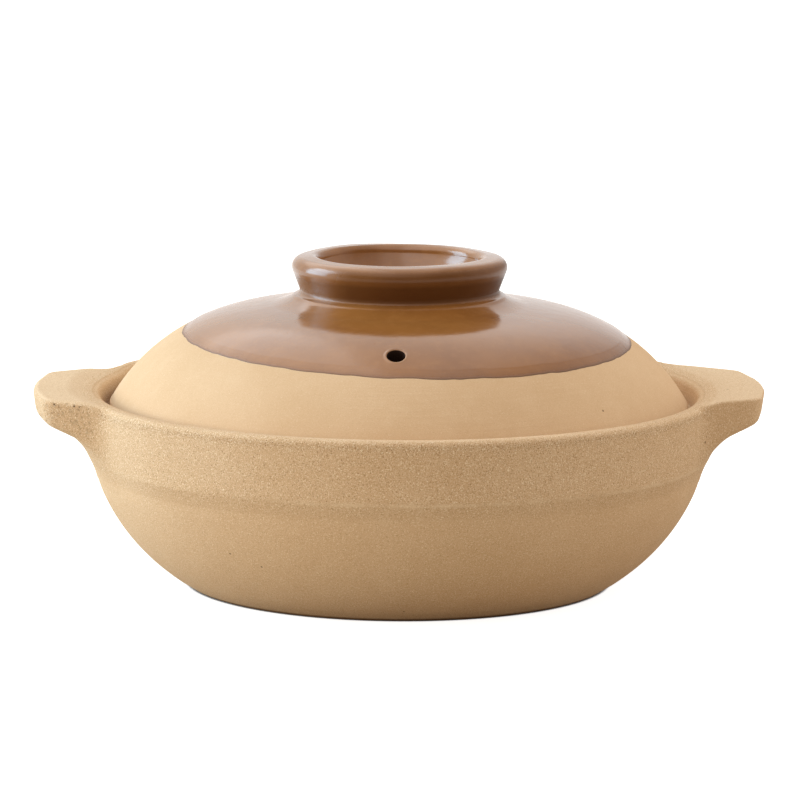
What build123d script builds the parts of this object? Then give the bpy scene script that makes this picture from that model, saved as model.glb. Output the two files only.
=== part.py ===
from build123d import *
import math
import os

os.makedirs("parts", exist_ok=True)

# A Chinese sand pot: a bowl of raw sandy clay with two lug handles, and a domed lid with a ring
# knob. Millimetres, +Z up. The origin is the centre of the foot, on the surface it stands on.
# The handles point along +X and -X, and the steam hole faces the front, -Y.

# Pot, raw clay
mouth_diameter = 240.0        # across the top inner edge of the rim
rim_height = 76.9             # top of the rim above the foot
rim_width = 6.5               # from the top inner edge out to the rim's outside
rim_outer_round = 3.0
rim_inner_round = 2.5
wall_thickness = 6.5
floor_thickness = 7.0
foot_diameter = 168.2         # flat face that the pot stands on
foot_edge_round = 2.0
belly_swell = 4.7             # widest belly radius beyond the mouth's
belly_depth = 10.2            # belly's widest line below the rim's top
belly_drop = 11.2             # how far the belly's curve would run below the foot if it were not cut
floor_corner_round = 12.0     # inside, between floor and wall

# Ridge that the potter's rib leaves at the foot of the collar
collar_height = 24.5          # ridge up to the rim's top
ridge_swell = 4.9             # ridge radius beyond the mouth's
ridge_undercut = 2.8          # height of the short slope under the ridge
ridge_round = 4.0

# Ledge inside the rim that carries the lid
seat_depth = 7.4              # ledge below the rim's top
seat_width = 10.0
gallery_draft = 3.0           # how much the wall above the ledge opens out towards the mouth
seat_corner_round = 1.2
ledge_nose = 3.2              # thickness of the ledge at its inner edge
ledge_corbel = 8.6            # height of the slope that carries the ledge
ledge_nose_round = 1.2

# Lug handles, raw clay
handle_length = 19.8          # rim's outside to the tip of a handle
handle_rise = 2.0             # level top of a handle above the rim
handle_brow_reach = 5.5       # root to where the top has risen to its level
handle_brow_round = 8.0
handle_tip_thickness = 9.4
handle_underside_angle = 24.7 # degrees that the underside falls from the tip to the hollow
handle_foot_lean = 4.7        # degrees between the hollow and the root where they meet, at the foot
handle_depth = 32.0           # rim's top down to the foot of the root
handle_root_overlap = 0.5     # top starts inside the rim's rounded edge
handle_root_sink = 0.6        # and below the rim's top, so it comes out of that edge
handle_foot_sink = 1.4        # foot of the root inside the belly's outside
handle_half_angle = 14.5      # degrees, half the tip seen from the pot's axis
handle_front_angle = 36.0     # degrees from the handle's middle to where its front side ends
handle_back_angle = 43.0      # degrees, the same to the back
handle_side_depth = 5.0       # ends of the sides inside the root's top
handle_bow_share = 0.07       # hollow bow of the front side, of that side's length; the back is straight
handle_draft = 8.0            # degrees that the tip and sides lean in towards the underside
handle_corner_round = 9.0
handle_top_round = 2.2
handle_bottom_round = 3.6

# Lid, raw clay
lid_clearance = 1.5           # lid's edge to the foot of the gallery wall, all round
lid_lip_height = 3.0          # upright edge of the lid
lid_skirt_run = 2.4           # straight run of the skirt, measured outwards
lid_skirt_angle = 57.3        # degrees below level
lid_shoulder_radius = 74.2
lid_crown_radius = 361.5
lid_wall_thickness = 6.0
lid_edge_round = 1.2

# Ring knob, raw clay
knob_neck_diameter = 80.2
knob_wall_thickness = 4.8
knob_rise = 18.1              # top of the knob above the crown beside its neck
knob_bead_diameter = 7.5      # round bead along the knob's lip
knob_bead_overhang = 2.25     # bead's outside beyond the neck's
knob_neck_round = 3.0
knob_sink = 1.0               # depth that the knob's foot is luted into the crown

# Steam hole, bored straight down
steam_hole_diameter = 7.6
steam_hole_radius = 83.6      # from the lid's axis
steam_hole_turn = -93.8       # degrees from +X, as the lid lies in the pot

# Glaze coats
glaze_thickness = 0.5
glaze_cap_diameter = 178.8    # brown cap on the lid
glaze_cap_shift_x = 2.8       # the cap is poured a little off the lid's axis
glaze_cap_shift_y = -5.2
glaze_fillet = 2.4            # glaze pooled round the knob's neck
pot_glaze_margin = 1.6        # bare band between the pot's glaze and the ledge
lid_glaze_margin = 2.6        # bare band between the lid's inner glaze and its lip

# Cutting tools reach this far past what they cut
overrun = 5.0
# Two places closer than this are the same place
coincidence = 0.01
# Share of the vertical in a direction: a side face has less, an upright edge has more
side_share = 0.3
upright_share = 0.8

# Sizes that follow from those above
mouth_radius = mouth_diameter / 2
rim_outer_radius = mouth_radius + rim_width
foot_radius = foot_diameter / 2
belly_radius = mouth_radius + belly_swell
ridge_radius = mouth_radius + ridge_swell
ridge_height = rim_height - collar_height
gallery_radius = mouth_radius - gallery_draft
seat_height = rim_height - seat_depth
seat_inner_radius = gallery_radius - seat_width
belly_height = rim_height - belly_depth
belly_semi_height = belly_height + belly_drop
foot_ratio = math.sqrt(1 - (belly_height / belly_semi_height) ** 2)
belly_centre = (foot_radius - foot_ratio * belly_radius) / (1 - foot_ratio)
belly_semi_width = belly_radius - belly_centre
handle_reach = rim_outer_radius + handle_length
handle_root_radius = rim_outer_radius - rim_outer_round - handle_root_overlap

lid_radius = gallery_radius - lid_clearance
skirt_top_radius = lid_radius - lid_skirt_run
skirt_slope = math.radians(lid_skirt_angle)
skirt_foot_height = seat_height + lid_lip_height
skirt_top_height = skirt_foot_height + lid_skirt_run * math.tan(skirt_slope)
shoulder_centre_r = skirt_top_radius - lid_shoulder_radius * math.sin(skirt_slope)
shoulder_centre_z = skirt_top_height - lid_shoulder_radius * math.cos(skirt_slope)
crown_slope = math.asin(shoulder_centre_r / (lid_crown_radius - lid_shoulder_radius))
crown_centre_z = shoulder_centre_z - (lid_crown_radius - lid_shoulder_radius) * math.cos(crown_slope)

knob_neck_radius = knob_neck_diameter / 2
knob_inner_radius = knob_neck_radius - knob_wall_thickness
bead_radius = knob_bead_diameter / 2
bead_centre_r = knob_neck_radius + knob_bead_overhang - bead_radius


def belly_outline_radius(height, inset):
    """Radius of the belly's oval at a height, with the oval drawn in by an inset."""
    share = (height - belly_height) / (belly_semi_height - inset)
    return belly_centre + (belly_semi_width - inset) * math.sqrt(1 - share ** 2)


def belly_arc(bottom, top, inset):
    """Part of the belly's oval between two heights, as an edge in (radius, height)."""
    half_height = belly_semi_height - inset
    start = math.degrees(math.asin((bottom - belly_height) / half_height))
    end = math.degrees(math.asin((top - belly_height) / half_height))
    half_width = belly_semi_width - inset
    return EllipticalCenterArc(
        (belly_centre, belly_height), half_width, half_height, start, arc_size=end - start
    )


def round_corner(section, corner, radius):
    """Round the corner of a flat section that lies nearest to a point."""
    return fillet(section.vertices().sort_by_distance(corner)[0], radius)


def turned(section):
    """Solid of revolution of a section drawn in (radius, height)."""
    return revolve(Plane.YZ * section, Axis.Z)


def block(low_radius, low_height, high_radius, high_height):
    """Rectangle in (radius, height) between two corners."""
    width = high_radius - low_radius
    height = high_height - low_height
    return Pos(low_radius, low_height) * Rectangle(width, height, align=(Align.MIN, Align.MIN))


def pot_outside():
    """Section of the pot as if it were filled: foot, belly, ridge, collar and rim."""
    ridge_foot_height = ridge_height - ridge_undercut
    ridge_foot = (belly_outline_radius(ridge_foot_height, 0), ridge_foot_height)
    foot_corner = (foot_radius, 0)
    ridge = (ridge_radius, ridge_height)
    rim_corner = (rim_outer_radius, rim_height)
    section = make_face(
        Line((0, 0), foot_corner)
        + belly_arc(0, ridge_foot_height, 0)
        + Polyline(ridge_foot, ridge, rim_corner, (0, rim_height), (0, 0))
    )
    section = round_corner(section, foot_corner, foot_edge_round)
    section = round_corner(section, ridge_foot, ridge_round)
    section = round_corner(section, ridge, ridge_round)
    return round_corner(section, rim_corner, rim_outer_round)


def pot_inside(skin):
    """Section of the pot's hollow, drawn in by the thickness of a skin on its walls."""
    floor_height = floor_thickness + skin
    inset = wall_thickness + skin
    corbel_foot_height = seat_height - ledge_nose - ledge_corbel
    floor_corner = (belly_outline_radius(floor_height, inset), floor_height)
    corbel_foot = (belly_outline_radius(corbel_foot_height, inset), corbel_foot_height)
    nose_low = (seat_inner_radius - skin, seat_height - ledge_nose - skin)
    nose_high = (seat_inner_radius - skin, seat_height)
    seat_corner = (gallery_radius, seat_height)
    mouth_edge = (mouth_radius, rim_height)
    section = make_face(
        Line((0, floor_height), floor_corner)
        + belly_arc(floor_height, corbel_foot_height, inset)
        + Polyline(
            corbel_foot,
            nose_low,
            nose_high,
            seat_corner,
            mouth_edge,
            (mouth_radius, rim_height + overrun),
            (0, rim_height + overrun),
            (0, floor_height),
        )
    )
    section = round_corner(section, floor_corner, floor_corner_round)
    section = round_corner(section, nose_low, ledge_nose_round)
    return round_corner(section, seat_corner, seat_corner_round)


def on_circle(radius, degrees):
    """Point on a circle about the pot's axis, at an angle from +X."""
    angle = math.radians(degrees)
    return (radius * math.cos(angle), radius * math.sin(angle))


def handle_plan():
    """Right handle seen from above: rounded tip, sides that flare into the wall."""
    front_tip = on_circle(handle_reach, -handle_half_angle)
    back_tip = on_circle(handle_reach, handle_half_angle)
    front_root = on_circle(handle_root_radius - handle_side_depth, -handle_front_angle)
    back_root = on_circle(handle_root_radius - handle_side_depth, handle_back_angle)
    bow = handle_bow_share * math.dist(front_tip, front_root)
    plan = make_face(
        CenterArc((0, 0), handle_reach, -handle_half_angle, 2 * handle_half_angle)
        + Polyline(back_tip, back_root, front_root)
        + SagittaArc(front_root, front_tip, bow)
    )
    plan = round_corner(plan, front_tip, handle_corner_round)
    return round_corner(plan, back_tip, handle_corner_round)


def handle_section():
    """Right handle in (radius, height): level top, and an underside hollowed out at the wall."""
    top_height = rim_height + handle_rise
    foot_height = rim_height - handle_depth
    root_top = Vector(handle_root_radius, rim_height - handle_root_sink)
    root_foot = Vector(belly_outline_radius(foot_height, 0) - handle_foot_sink, foot_height)
    brow = (handle_root_radius + handle_brow_reach, top_height)
    tip_under = Vector(handle_reach, top_height - handle_tip_thickness)
    fall = Vector(-1, 0).rotate(Axis.Z, handle_underside_angle)
    foot_fall = (root_foot - root_top).normalized().rotate(Axis.Z, -handle_foot_lean)
    # One arc is tangent to the underside and to the direction at the foot
    run = fall.cross(root_foot - tip_under).Z / fall.cross(foot_fall).Z
    hollow = root_foot - (fall + foot_fall) * run
    past_top = (handle_reach + overrun, top_height)
    past_under = tip_under - fall * overrun
    section = make_face(
        Polyline(root_foot, root_top, brow, past_top, past_under, hollow)
        + TangentArc(hollow, root_foot, tangent=fall)
    )
    return round_corner(section, brow, handle_brow_round)


def side_edges(lug):
    """Edges along the top and the foot of a handle's leaning tip and sides."""
    found = []
    for face in lug.faces():
        if abs(face.normal_at().Z) > side_share:
            continue
        for edge in face.edges():
            middle = edge @ 0.5
            outside = math.hypot(middle.X, middle.Y) > handle_root_radius + coincidence
            if outside and abs((edge % 0.5).Z) < upright_share:
                found.append(edge)
    return found


def handle_lug():
    """Right handle with its edges rounded, cut to the outside of the pot that it is luted to."""
    top_height = rim_height + handle_rise
    middle_height = top_height - handle_tip_thickness / 2
    plan = Pos(0, 0, top_height) * handle_plan()
    lug = extrude(plan, handle_depth + overrun, dir=(0, 0, -1), taper=handle_draft)
    lug &= turned(handle_section())
    upper = [edge for edge in side_edges(lug) if (edge @ 0.5).Z > middle_height]
    lug = fillet(upper, handle_top_round)
    lower = [edge for edge in side_edges(lug) if (edge @ 0.5).Z < middle_height]
    return fillet(lower, handle_bottom_round) - turned(pot_outside())


def dome_point(slope, offset):
    """Point on the lid's shoulder arc where it falls at a slope, offset outwards."""
    reach = lid_shoulder_radius + offset
    return (shoulder_centre_r + reach * math.sin(slope), shoulder_centre_z + reach * math.cos(slope))


def crown_height(radius):
    """Height of the lid's crown at a radius."""
    return crown_centre_z + math.sqrt(lid_crown_radius ** 2 - radius ** 2)


def dome_arcs(offset):
    """Crown and shoulder of the lid as edges from its axis outwards, offset outwards."""
    crown_share = math.degrees(crown_slope)
    skirt_share = math.degrees(skirt_slope)
    crown = CenterArc(
        (0, crown_centre_z), lid_crown_radius + offset, 90 - crown_share, crown_share
    )
    shoulder = CenterArc(
        (shoulder_centre_r, shoulder_centre_z),
        lid_shoulder_radius + offset,
        90 - skirt_share,
        skirt_share - crown_share,
    )
    return crown + shoulder


def lid_outside(skin):
    """Section of the lid's dome as if it were filled, with a skin on its crown and shoulder."""
    skirt_top = dome_point(skirt_slope, skin)
    lip_top = (lid_radius + skin * math.sin(skirt_slope), skirt_foot_height)
    lip_foot = (lip_top[0], seat_height)
    apex = (0, crown_centre_z + lid_crown_radius + skin)
    section = make_face(
        dome_arcs(skin) + Polyline(skirt_top, lip_top, lip_foot, (0, seat_height), apex)
    )
    section = round_corner(section, lip_foot, lid_edge_round)
    return round_corner(section, lip_top, lid_edge_round)


def lid_inside(skin):
    """Section of the hollow under the lid's dome, drawn in by a skin."""
    inset = -lid_wall_thickness - skin
    skirt_top = dome_point(skirt_slope, inset)
    foot_drop = skirt_top[1] - seat_height + overrun
    foot = (skirt_top[0] + foot_drop / math.tan(skirt_slope), seat_height - overrun)
    apex = (0, crown_centre_z + lid_crown_radius + inset)
    return make_face(
        dome_arcs(inset) + Polyline(skirt_top, foot, (0, seat_height - overrun), apex)
    )


def knob_section(skin):
    """Section of the knob's wall and its beaded lip, with a skin on it, standing on its foot."""
    neck_height = crown_height(knob_neck_radius)
    bead_height = neck_height + knob_rise - bead_radius
    wall = block(
        knob_inner_radius - skin,
        neck_height - knob_sink,
        knob_neck_radius + skin,
        bead_height,
    )
    bead = Pos(bead_centre_r, bead_height) * Circle(bead_radius + skin)
    neck = (knob_neck_radius + skin, bead_height - bead_radius)
    return round_corner(wall + bead, neck, knob_neck_round)


def steam_hole():
    """Straight vertical bore through the lid."""
    turn = math.radians(steam_hole_turn)
    place = Pos(steam_hole_radius * math.cos(turn), steam_hole_radius * math.sin(turn), 0)
    return place * Cylinder(
        steam_hole_diameter / 2,
        crown_height(0) + overrun,
        align=(Align.CENTER, Align.CENTER, Align.MIN),
    )


def pot_body():
    """Bowl of raw clay: foot, belly, collar and rim, with the ledge for the lid inside."""
    section = pot_outside() - pot_inside(0)
    return turned(round_corner(section, (mouth_radius, rim_height), rim_inner_round))


def pot_glaze():
    """Coat inside the pot, from the floor to just under the ledge's bearing face."""
    glaze_top = seat_height - pot_glaze_margin
    below_ledge = turned(block(0, 0, rim_outer_radius, glaze_top))
    return (turned(pot_inside(0)) & below_ledge) - turned(pot_inside(glaze_thickness))


def lid_dome(knob, hole):
    """Dome of raw clay, grooved for the knob's foot and bored for steam."""
    return turned(lid_outside(0)) - turned(lid_inside(0)) - knob - hole


def lid_glaze(knob, hole):
    """Brown coat over the crown and the knob, ending in a round edge off the lid's axis."""
    crown = lid_outside(glaze_thickness)
    coated = crown + knob_section(glaze_thickness)
    neck = (knob_neck_radius + glaze_thickness, crown_height(knob_neck_radius) + glaze_thickness)
    coated = round_corner(coated, neck, glaze_fillet)
    cap = Pos(glaze_cap_shift_x, glaze_cap_shift_y, 0) * Cylinder(
        glaze_cap_diameter / 2,
        crown_height(0) + knob_rise + overrun,
        align=(Align.CENTER, Align.CENTER, Align.MIN),
    )
    return (turned(coated) & cap) - turned(lid_outside(0)) - knob - hole


def lid_underglaze(hole):
    """Coat under the dome, ending above the lid's lip."""
    glaze_foot = seat_height + lid_glaze_margin
    above_lip = turned(block(0, glaze_foot, lid_radius, glaze_foot + rim_height))
    return (turned(lid_inside(0)) & above_lip) - turned(lid_inside(glaze_thickness)) - hole


right_lug = handle_lug()
knob = turned(knob_section(0))
hole = steam_hole()

nodes = {
    "pot_body": pot_body(),
    "handle_right": right_lug,
    "handle_left": mirror(right_lug, Plane.YZ),
    "pot_glaze": pot_glaze(),
    "lid_dome": lid_dome(knob, hole),
    "knob_ring": knob,
    "lid_glaze": lid_glaze(knob, hole),
    "lid_underglaze": lid_underglaze(hole),
}

for name, solid in nodes.items():
    export_step(solid, f"parts/{name}.step")
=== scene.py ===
from math import acos, asin, cos, pi, radians, sin, sqrt, tan

import bpy
import numpy as np
from mathutils import Matrix, Vector


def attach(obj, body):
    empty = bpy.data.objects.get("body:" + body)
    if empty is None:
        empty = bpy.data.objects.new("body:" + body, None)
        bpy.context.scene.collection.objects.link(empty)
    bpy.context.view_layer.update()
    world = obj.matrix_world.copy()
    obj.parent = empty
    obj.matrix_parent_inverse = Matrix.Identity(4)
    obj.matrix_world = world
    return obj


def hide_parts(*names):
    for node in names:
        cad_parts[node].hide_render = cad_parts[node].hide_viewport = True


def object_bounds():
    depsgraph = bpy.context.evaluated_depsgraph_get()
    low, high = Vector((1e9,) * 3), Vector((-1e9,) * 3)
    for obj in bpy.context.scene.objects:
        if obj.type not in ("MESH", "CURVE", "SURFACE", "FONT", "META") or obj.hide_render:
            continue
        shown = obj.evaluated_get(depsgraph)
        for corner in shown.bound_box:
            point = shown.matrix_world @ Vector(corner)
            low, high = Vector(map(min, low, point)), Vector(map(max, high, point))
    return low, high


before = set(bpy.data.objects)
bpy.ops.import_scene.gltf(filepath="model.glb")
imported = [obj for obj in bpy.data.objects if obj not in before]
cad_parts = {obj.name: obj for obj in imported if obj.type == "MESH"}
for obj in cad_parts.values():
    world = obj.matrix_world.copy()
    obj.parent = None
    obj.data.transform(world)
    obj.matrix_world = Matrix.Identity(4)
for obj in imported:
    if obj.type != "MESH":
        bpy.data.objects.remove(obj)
cad_low, cad_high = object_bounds()

# Shapes are worked out in millimetres and turned into metres when a mesh is made
MM = 0.001

# Camera, at the photograph's viewing angle
camera_distance = 1900.0  # from the pot's axis, along the floor
camera_height = 377.1
camera_turn = 3.0  # degrees round the pot from straight in front
camera_tilt = 9.102  # degrees below level
camera_roll = 0.37
camera_aim = 0.0143  # degrees to the right of the pot's axis
camera_lens = 216.44
camera_sensor = 36.0

# Bowl
rim_height = 76.9
mouth_radius = 120.0
rim_width = 6.5
rim_outer_round = 1.8
rim_inner_round = 2.5
wall_thickness = 6.5
floor_thickness = 7.0
foot_radius = 84.1
foot_edge_round = 2.0
belly_radius = 124.7
belly_height = 66.7
belly_semi_height = 77.9
belly_start_height = 4.0  # the belly's curve leaves the foot here
floor_corner_round = 12.0
floor_corner_reach = 14.0  # the wall's curve ends this far above the floor
ridge_radius = 124.9
ridge_height = 52.4
ridge_undercut = 6.5
ridge_lead = 4.0  # the belly's curve ends this far below the ridge's foot
ridge_round = 7.0
seat_height = 69.5
gallery_radius = 117.0
seat_inner_radius = 107.0
seat_corner_round = 1.2
ledge_nose = 3.2
ledge_corbel = 8.6
ledge_nose_round = 1.2
ledge_corbel_round = 3.0
bowl_core = (60.0, 20.0)  # the filled outline starts here, deep inside the bowl

# Handles
handle_reach = 146.1
handle_half_angle = 14.5
handle_front_angle = 36.0
handle_back_angle = 43.0
handle_inner_reach = 118.0
handle_front_bow = 4.6
handle_corner_round = 9.0
handle_rise = 2.0
handle_brow_reach = 9.0
handle_brow_round = 14.0
handle_thickness = 9.4
handle_underside_drop = 5.2
handle_hollow_reach = 12.0
handle_hollow_lead = 6.0  # how far the underside's arch follows the hollow's slope
handle_root_radius = 123.0
handle_root_foot_radius = 120.0
handle_root_corner = (-2.0, -0.4, 6.0)  # from root and rim, and its round
handle_depth = 32.0
handle_draft = 8.0
handle_core_reach = 96.0  # the handle's shape starts this far out, deep in the wall
handle_core_drop = 1.0
handle_overrun = 20.0  # the section runs on past the tip, where the plan cuts it off
right_edge_round = 1.0
left_edge_round = 2.4
right_lower_round = 1.6
left_lower_round = 2.4
edge_change = (0.75, 0.25)  # shares of the thickness between which the lower round ends
join_round = 3.0  # clay smoothed into the corner between handle and wall
rim_join_round = 1.6
rim_join_depths = (9, 1)  # below the rim, between which the corner's round changes
left_back_bow = 3.2  # hollow of the handle's back edge
right_back_bow = 1.2
back_lift_height = 1.8  # rim swells up behind each handle
back_lift_rise = (21, 30)  # degrees behind straight out
back_lift_fall = (44, 88)
back_lift_heights = (58, 76)
back_lift_depth = 2.0
under_press = 1.1  # wall pressed in a little below each handle
under_press_height = 51.0
under_press_reach = 6.5
under_press_side = (0.80, 0.94)
corner_gap = 4  # points of a bow left out beside a rounded corner
tip_gap = 6

# Lid
lid_radius = 115.5
lid_lip_height = 3.0
lid_edge_round = 1.2
lid_foot_round = 0.8
skirt_top_radius = 113.1
skirt_angle = 57.3
shoulder_radius = 74.2
crown_radius = 361.5
lid_wall_thickness = 6.0
lid_inside_reach = 3.0  # the clay runs on this far under the inner glaze
underglaze_margin = 2.6
underglaze_tuck = (0.6, -0.4)

# Glaze
glaze_thickness = 0.5
pot_glaze_margin = 1.6
pot_glaze_tuck = (0.3, 0.2)  # the glaze's edge runs into the clay
pot_glaze_shoulder = 0.5
pot_glaze_round = 0.4
cap_radius = 89.4
cap_shift = (2.8, -5.2)
cap_taper = 3.6  # the glaze thins out over this width
cap_thinning = 0.85
cap_sink = -0.6  # its last row goes into the clay
cap_tuck = 4.0  # clay runs on under the glaze's edge

# Knob, with its glaze
knob_basin_radius = 17.0  # floor inside the knob
knob_basin_rise = 0.3
knob_basin_turn = (4.0, 2.6)  # from the lip's inside and the floor, where the basin's curve turns
knob_neck_lean = 21.0  # degrees, the neck narrows downwards
knob_bead_centre = (38.6, 126.6)
knob_bead_radius = 4.25
knob_lip_centre = (35.0, 128.2)
knob_lip_radius = 3.0
knob_lip_lean = 0.1  # radians past the top where the lip meets the bead
knob_foot_round = 1.8
knob_swell_height = 3.7  # the crown swells up to meet the knob
knob_swell_width = 12.5
knob_pool_width = 0.8  # glaze stands up in a thin ring where the knob meets the crown
knob_pool_height = 0.28
knob_foot_reach = 54.0  # the crown's rows start here
knob_wave_radius = 43.0  # the knob's unevenness dies out beyond this
knob_wave_fade = 1.2
knob_wave_heights = (117, 128)
knob_lip_wave_heights = (120, 128)

# Steam hole
hole_radius = 3.5
hole_reach = 83.6
hole_turn = -93.8
hole_lip = 1.0
hole_lip_height = 0.14
hole_lip_margin = 0.6
hole_window_reach = 7.2
bore_depths = (0.4, 0.6, 0.8, 1.05)  # of the lid's thickness there
bore_edge = [(0.06, -0.15), (-0.1, -0.7), (-0.1, -1.6)]
under_hole = [(1.2, 0.0), (0.6, 0.0), (-0.05, 0.1)]

# Unevenness left by the hand: size, seed, first wave and the wave after the last
bowl_waves = (0.16, 5)
lid_waves = (0.1, 31)
knob_width_waves = (0.35, 21, 2, 8)
knob_height_waves = (0.22, 22, 2, 7)
drip_waves = (0.5, 11, 3, 20)
cap_fine_waves = (0.16, 3, 20, 120)
cap_slow_waves = (0.16, 8, 2, 9)
cap_fine_share = 3
cap_slow_share = 0.5
wave_tilt = 0.05
wave_turn = 6.28
wave_inset = 0.14
wave_foot_reach = (-6, 8)  # from the foot's edge, where the bowl's unevenness sets in
wave_foot_heights = (1.0, 8.0)
lid_wave_radii = (95, 110)
drip_reach = 3

# Marks on the bowl's clay, between two radii, heights or distances to the left or the front
handle_zone = (126.8, 130.0)
smooth_zone = (125.4, 128.4)
level_slopes = (0.55, 0.85)
level_depth = 3  # below the rim
level_fineness = 0.25
right_fineness = 0.7
coarse_heights = (-9, 1)  # from the ridge
rim_band = (2.6, 1.3)  # depth and width
pits_left = (119, 123)
pits_front = (8, 20)
pits_heights = (62, 68)
pits_share = 0.22
pit_row = (77.2, 0.55)  # height and width
pit_row_rise = (121, 125)
pit_row_fall = (137, 140)
pit_row_share = 1.2
# Painted shade: colour darkened inside the rim at the left, from below the rim's top down towards the
# lid's seat
pocket_shade_left = (60, 108)
pocket_shade_depths = (9, 0.5)  # below the rim
# Painted highlight: a paler line along the ridge's crest, fading out to the left
crest_band = (0.2, 0.75)  # depth below the ridge and width
crest_left = (20, 80)

# Marks on the lid's glaze
cap_edge_width = 0.75
neck_heights = (115.4, 117.6)
neck_radii = (37.0, 38.0)
neck_outer_radius = 44
bead_heights = (122.8, 125.0)
bead_thinness = 0.30
lip_heights = (128.6, 130.6)
# Painted light: the neck's and bead's dark glaze and painted shade are lessened at the left, where the
# light falls
lit_left = (20, 34)
lit_left_shares = (0.5, 0.42)
hole_lip_ring = (9, 2.2)  # rings counted from the window's border
# Painted shade down the steam hole's bore, between these rings
bore_shade_rings = (11.5, 13.0)
# Painted highlight on the steam hole's lip, kept to the side that these set, at the right and front
hole_lip_slant = 0.6
hole_lip_highlight_side = (-1.0, 4.5)

# Mesh
pot_columns = 1200
lid_columns = 960
row_step = 0.45
arc_step = 0.25
axis_gap = 0.5  # rows start this far from the axis
foot_row_radii = (12.0, 30.0, 50.0, 70.0)
foot_row_margin = 4
band_start = 38.0  # height where the rows that follow the handles start
band_length = 60
cap_length = 40
lid_clay_length = 36
raster_step = 0.2
trace_step = 0.3
trace_probe = 0.15
trace_limit = 420
bowl_box = ((100.0, 24.0), (152.0, 92.0))
section_box = ((90.0, 24.0), (152.0, 92.0))
plan_box = ((60.0, -120.0), (156.0, 120.0))

# What follows from these sizes
handle_top = rim_height + handle_rise
rim_inner_edge = mouth_radius + rim_inner_round
corbel_foot = seat_height - ledge_nose - ledge_corbel
skirt_slope = radians(skirt_angle)
lip_top_height = seat_height + lid_lip_height
skirt_top_height = lip_top_height + (lid_radius - skirt_top_radius) * tan(skirt_slope)
shoulder_centre_r = skirt_top_radius - shoulder_radius * sin(skirt_slope)
shoulder_centre_z = skirt_top_height - shoulder_radius * cos(skirt_slope)
crown_slope = asin(shoulder_centre_r / (crown_radius - shoulder_radius))
crown_centre_z = shoulder_centre_z - (crown_radius - shoulder_radius) * cos(crown_slope)
foot_ratio = sqrt(1 - (belly_height / belly_semi_height) ** 2)
belly_centre = (foot_radius - foot_ratio * belly_radius) / (1 - foot_ratio)
belly_semi_width = belly_radius - belly_centre
hole_angle = radians(hole_turn)
hole_centre = (hole_reach * cos(hole_angle), hole_reach * sin(hole_angle))


# Outlines

def belly_at(height, inset=0.0):
    share = (height - belly_height) / (belly_semi_height - inset)
    return belly_centre + (belly_semi_width - inset) * sqrt(max(0.0, 1 - share * share))


def belly_points(low, high, inset=0.0, count=60):
    heights = np.linspace(low, high, count)
    return [(belly_at(z, inset), z) for z in heights]


def rounded(corners):
    """Outline through (u, v) or (u, v, radius) corners, with an arc at each that has a radius."""
    points = []
    last = len(corners) - 1
    for index, corner in enumerate(corners):
        here = np.array(corner[:2], float)
        radius = corner[2] if len(corner) > 2 else 0.0
        if radius == 0 or index in (0, last):
            points.append(here)
            continue
        back = np.array(corners[index - 1][:2], float) - here
        ahead = np.array(corners[index + 1][:2], float) - here
        back /= np.linalg.norm(back)
        ahead /= np.linalg.norm(ahead)
        half = acos(max(-1.0, min(1.0, float(back @ ahead)))) / 2
        centre = here + (back + ahead) / np.linalg.norm(back + ahead) * radius / sin(half)
        start = here + back * radius / tan(half) - centre
        turn = pi - 2 * half
        side = 1.0 if back[0] * ahead[1] - back[1] * ahead[0] < 0 else -1.0
        steps = max(3, int(radius * turn / arc_step))
        for angle in np.linspace(0, side * turn, steps):
            c, s = cos(angle), sin(angle)
            points.append(centre + (start[0] * c - start[1] * s, start[0] * s + start[1] * c))
    return np.array(points)


def spread(points, step=1.0, count=None):
    """Points at even steps along an outline."""
    points = np.asarray(points, float)
    gaps = np.hypot(*np.diff(points, axis=0).T)
    way = np.concatenate([[0], np.cumsum(gaps)])
    count = count or max(2, int(round(way[-1] / step)) + 1)
    places = np.linspace(0, way[-1], count)
    return np.stack([np.interp(places, way, points[:, k]) for k in (0, 1)], axis=1)


def curve(start, control, end, count):
    """Points on a curve that is drawn towards a control point on its way."""
    return [
        tuple((1 - t) ** 2 * start[k] + 2 * t * (1 - t) * control[k] + t * t * end[k] for k in (0, 1))
        for t in np.linspace(0, 1, count)
    ]


def arc(centre, radius, start, end, count):
    return [
        (centre[0] + radius * cos(a), centre[1] + radius * sin(a))
        for a in np.linspace(start, end, count)
    ]


def polar(radius, degrees):
    angle = radians(degrees)
    return (radius * cos(angle), radius * sin(angle))


def bowl_outline():
    """Outside of the bowl as a closed outline in (radius, height), as if it were filled."""
    ridge_foot_height = ridge_height - ridge_undercut
    return rounded(
        [bowl_core]
        + belly_points(bowl_core[1], ridge_foot_height - ridge_lead)
        + [
            (belly_at(ridge_foot_height), ridge_foot_height, ridge_round),
            (ridge_radius, ridge_height, ridge_round),
            (mouth_radius + rim_width, rim_height, rim_outer_round),
            (bowl_core[0], rim_height),
        ]
    )


def bow_points(start, end, depth):
    """Points from start to end on a shallow curve that is hollow by a depth."""
    start, end = np.array(start, float), np.array(end, float)
    along = end - start
    across = np.array([-along[1], along[0]]) / np.linalg.norm(along)
    return [
        tuple(start + along * t + across * depth * 4 * t * (1 - t))
        for t in np.linspace(0, 1, 16)[1:-1]
    ]


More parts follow.
